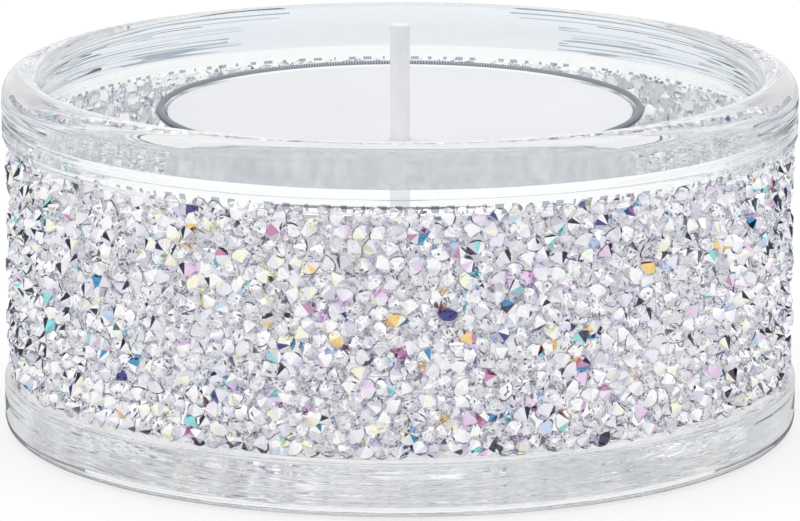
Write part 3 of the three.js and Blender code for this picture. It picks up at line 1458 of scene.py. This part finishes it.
@dataclass
class Studio:
    """Camera, white surroundings, pale floor, a soft lamp and cards for the glass to show.

    The cards are the slats under the lamp, the flags at the sides and the arcs on the ground, of
    which the dark ring under the foot's edge is a painted contact shadow.
    Only glass and metal show them, and they light and shade nothing.
    """

    aim_height: float = 13.28 * MM
    elevation_deg: float = 12.46
    distance: float = 512 * MM
    lens_mm: float = 284.85
    sensor_mm: float = 36.0
    clip_start: float = 0.01
    clip_end: float = 20.0
    floor_radius: float = 4.0
    floor_drop: float = 0.05 * MM
    floor_corners: int = 96
    floor: Floor = Floor("studio floor")
    fill_level: float = 0.66
    key_level: float = 0.86
    key_direction: tuple[float, float, float] = (-0.5, -0.3, 0.8)
    key_edge: float = -0.2
    lamp_size: tuple[float, float] = (600 * MM, 300 * MM)
    lamp_height: float = 450 * MM
    lamp_radiance: float = 1.0
    dark_paint: Paint = Paint("dark card", linear(46, 56, 68))
    slat_count: int = 7
    slat_pitch: float = 90 * MM
    slat_width: float = 12 * MM
    slat_length: float = 700 * MM
    slat_height: float = 420 * MM
    flag_distance: float = 260 * MM
    flags: tuple[Flag, ...] = (
        Flag(52, 20 * MM, 66 * MM, 170 * MM),
        Flag(84, 6 * MM, 22 * MM, 300 * MM),
        Flag(84, 45 * MM, 58 * MM, 300 * MM),
        Flag(84, 90 * MM, 106 * MM, 300 * MM),
    )
    arc_steps: int = 24
    ground_arcs: tuple[GroundArc, ...] = (
        GroundArc(33 * MM, 600 * MM, linear(238, 243, 248), 0, 72, height=0.05 * MM),
        GroundArc(33 * MM, 600 * MM, linear(247, 250, 252), 72, 108, height=0.05 * MM),
        GroundArc(33 * MM, 600 * MM, linear(255, 255, 255), 108, 180, height=0.05 * MM),
        # A dark ring just under the foot's edge: painted contact shadow, shown along the glass's lower
        # edge.
        GroundArc(30.8 * MM, 33.2 * MM, linear(46, 56, 68), 0, 180, height=-0.02 * MM),
        # The arc from 33.5 to 35 mm is painted contact shadow too.
        *(GroundArc(inner * MM, outer * MM, linear(46, 56, 68))
          for inner, outer in ((33.5, 35), (44, 49))),
        *(GroundArc(inner * MM, (inner + 5) * MM, linear(38, 46, 56), start, 62)
          for inner, start in ((98, 11), (109, 17), (120, 13), (131, 21), (142, 16))),
        *(GroundArc(inner * MM, outer * MM, linear(165, 176, 187))
          for inner, outer in ((62, 68), (84, 88), (154, 160), (184, 192), (228, 238))),
    )
    bounces: int = 96
    diffuse_bounces: int = 12

    def build_camera(self) -> None:
        """Places the camera on the photograph's line of sight.

        Formula: it stands at the aim point plus distance * (0, -cos e, sin e), e the elevation.
        """
        data = bpy.data.cameras.new("camera")
        data.lens = self.lens_mm
        data.sensor_width = self.sensor_mm
        data.clip_start = self.clip_start
        data.clip_end = self.clip_end
        camera = new_object("camera", data)
        elevation = math.radians(self.elevation_deg)
        back = Vector((0, -math.cos(elevation), math.sin(elevation)))
        camera.location = Vector((0, 0, self.aim_height)) + back * self.distance
        camera.rotation_euler = (-back).to_track_quat("-Z", "Y").to_euler()
        bpy.context.scene.camera = camera

    def build_world(self) -> None:
        """Makes the surroundings.

        The camera, and what glass and metal show, see plain white. Matt surfaces are lit by a
        soft sky that rises from the fill level, where the cosine of the angle to the key
        direction is at the key's edge, to the key level.
        """
        world = bpy.data.worlds.new("studio")
        world.use_nodes = True
        world.node_tree.nodes.clear()
        tree = Tree(world.node_tree)
        direction = tree.add("ShaderNodeTexCoord").outputs["Generated"]
        facing = tree.add(
            "ShaderNodeVectorMath",
            {0: direction, 1: Vector(self.key_direction).normalized()},
            operation="DOT_PRODUCT",
        ).outputs["Value"]
        level = tree.add(
            "ShaderNodeMapRange",
            {0: facing, 1: self.key_edge, 2: 1.0, 3: self.fill_level, 4: self.key_level},
            interpolation_type="SMOOTHSTEP",
        ).outputs[0]
        seen = tree.shown()[1]
        strength = tree.add("ShaderNodeMix", {0: seen, 2: level, 3: 1.0}).outputs[0]
        light = tree.add("ShaderNodeBackground", {"Color": WHITE, "Strength": strength})
        tree.add("ShaderNodeOutputWorld", {"Surface": light.outputs[0]})
        bpy.context.scene.world = world

    def build_floor(self) -> None:
        """Makes the floor, a wide disc just under the object."""
        angles = np.linspace(0, 2 * np.pi, self.floor_corners, endpoint=False)
        circle = np.column_stack(
            [self.floor_radius * np.cos(angles), self.floor_radius * np.sin(angles),
             np.full(self.floor_corners, -self.floor_drop)]
        )
        mesh = Surface(circle, [np.arange(self.floor_corners)[None, :]]).mesh("studio_floor")
        mesh.materials.append(self.floor.material())
        piece = new_object("studio_floor", mesh)

    def build_lamp(self) -> None:
        """Hangs a soft rectangular lamp overhead.

        Formula: a flat lamp of area A and radiance L gives pi A L watts.
        """
        data = bpy.data.lights.new("overhead_lamp", "AREA")
        data.shape = "RECTANGLE"
        data.size, data.size_y = self.lamp_size
        data.energy = math.pi * self.lamp_size[0] * self.lamp_size[1] * self.lamp_radiance
        lamp = new_object("overhead_lamp", data)
        lamp.location = (0, 0, self.lamp_height)
        lamp.visible_camera = False

    def add_card(
        self,
        name: str,
        corners: Array | Sequence[Sequence[float]],
        material: Material,
        faces: Array | None = None,
    ) -> None:
        """Makes a card that only glass and metal show.

        Args:
            name: the card's name.
            corners: its corners, one row each.
            material: its paint.
            faces: rows of four corner numbers, where it isn't one four-cornered face.
        """
        faces = np.arange(4)[None, :] if faces is None else faces
        mesh = Surface(np.array(corners), [faces]).mesh(name)
        mesh.materials.append(material)
        piece = new_object(name, mesh)
        piece.visible_camera = piece.visible_diffuse = piece.visible_shadow = False

    def build_slats_and_flags(self) -> None:
        """Makes the slats across the light overhead and the upright flags at the sides."""
        paint = self.dark_paint.material()
        half, wide, height = self.slat_length / 2, self.slat_width / 2, self.slat_height
        for number in range(self.slat_count):
            place = (number - (self.slat_count - 1) / 2) * self.slat_pitch
            corners = [(x, place + y, height) for x, y in
                       ((-half, -wide), (half, -wide), (half, wide), (-half, wide))]
            self.add_card(f"slat_{number}", corners, paint)
        for number, flag in enumerate(self.flags):
            angle = math.radians(flag.from_back_deg)
            low, high = Vector((0, 0, flag.low)), Vector((0, 0, flag.high))
            for side in (-1, 1):
                middle = self.flag_distance * Vector((side * math.sin(angle), math.cos(angle), 0))
                along = flag.width / 2 * Vector((math.cos(angle), -side * math.sin(angle), 0))
                corners = [middle - along + low, middle + along + low, middle + along + high,
                           middle - along + high]
                self.add_card(f"flag_{number}_{side}", corners, paint)

    def build_ground_arcs(self) -> None:
        """Makes the cards on the ground.

        Formula: an arc's corners are (r sin a, r cos a), with r its inner and outer radius and
        a the angles from the back, to the right and, with a minus sign, to the left.
        """
        count = self.arc_steps + 1
        here = np.arange(self.arc_steps)
        strip = np.stack([here, here + 1, here + count + 1, here + count], axis=1)
        for number, card in enumerate(self.ground_arcs):
            paint = Paint(f"ground card {number}", card.colour).material()
            for side in (-1, 1):
                angles = side * np.radians(np.linspace(card.start_deg, card.end_deg, count))
                corners = np.concatenate(
                    [np.column_stack([radius * np.sin(angles), radius * np.cos(angles),
                                      np.full(count, card.height)])
                     for radius in (card.inner, card.outer)]
                )
                self.add_card(f"ground_card_{number}_{side}", corners, paint, strip)

    def set_render(self) -> None:
        """Sets the plain view transform and enough bounces for glass behind glass."""
        scene = bpy.context.scene
        scene.view_settings.view_transform = "Standard"
        scene.cycles.max_bounces = self.bounces
        scene.cycles.transmission_bounces = self.bounces
        scene.cycles.glossy_bounces = self.bounces
        scene.cycles.diffuse_bounces = self.diffuse_bounces

    def build(self) -> None:
        """Builds the studio."""
        self.build_camera()
        self.build_world()
        self.build_floor()
        self.build_lamp()
        self.build_slats_and_flags()
        self.build_ground_arcs()
        self.set_render()


def main() -> None:
    """Builds the studio, the holder and the tealight in order."""
    logging.basicConfig(level=logging.INFO, format="%(message)s")
    Studio().build()
    HolderGlass().build()
    strip = CrystalStrip()
    strip.build_layers()
    strip.build_crystals()
    Tealight().build()


if __name__ == "__main__":
    main()
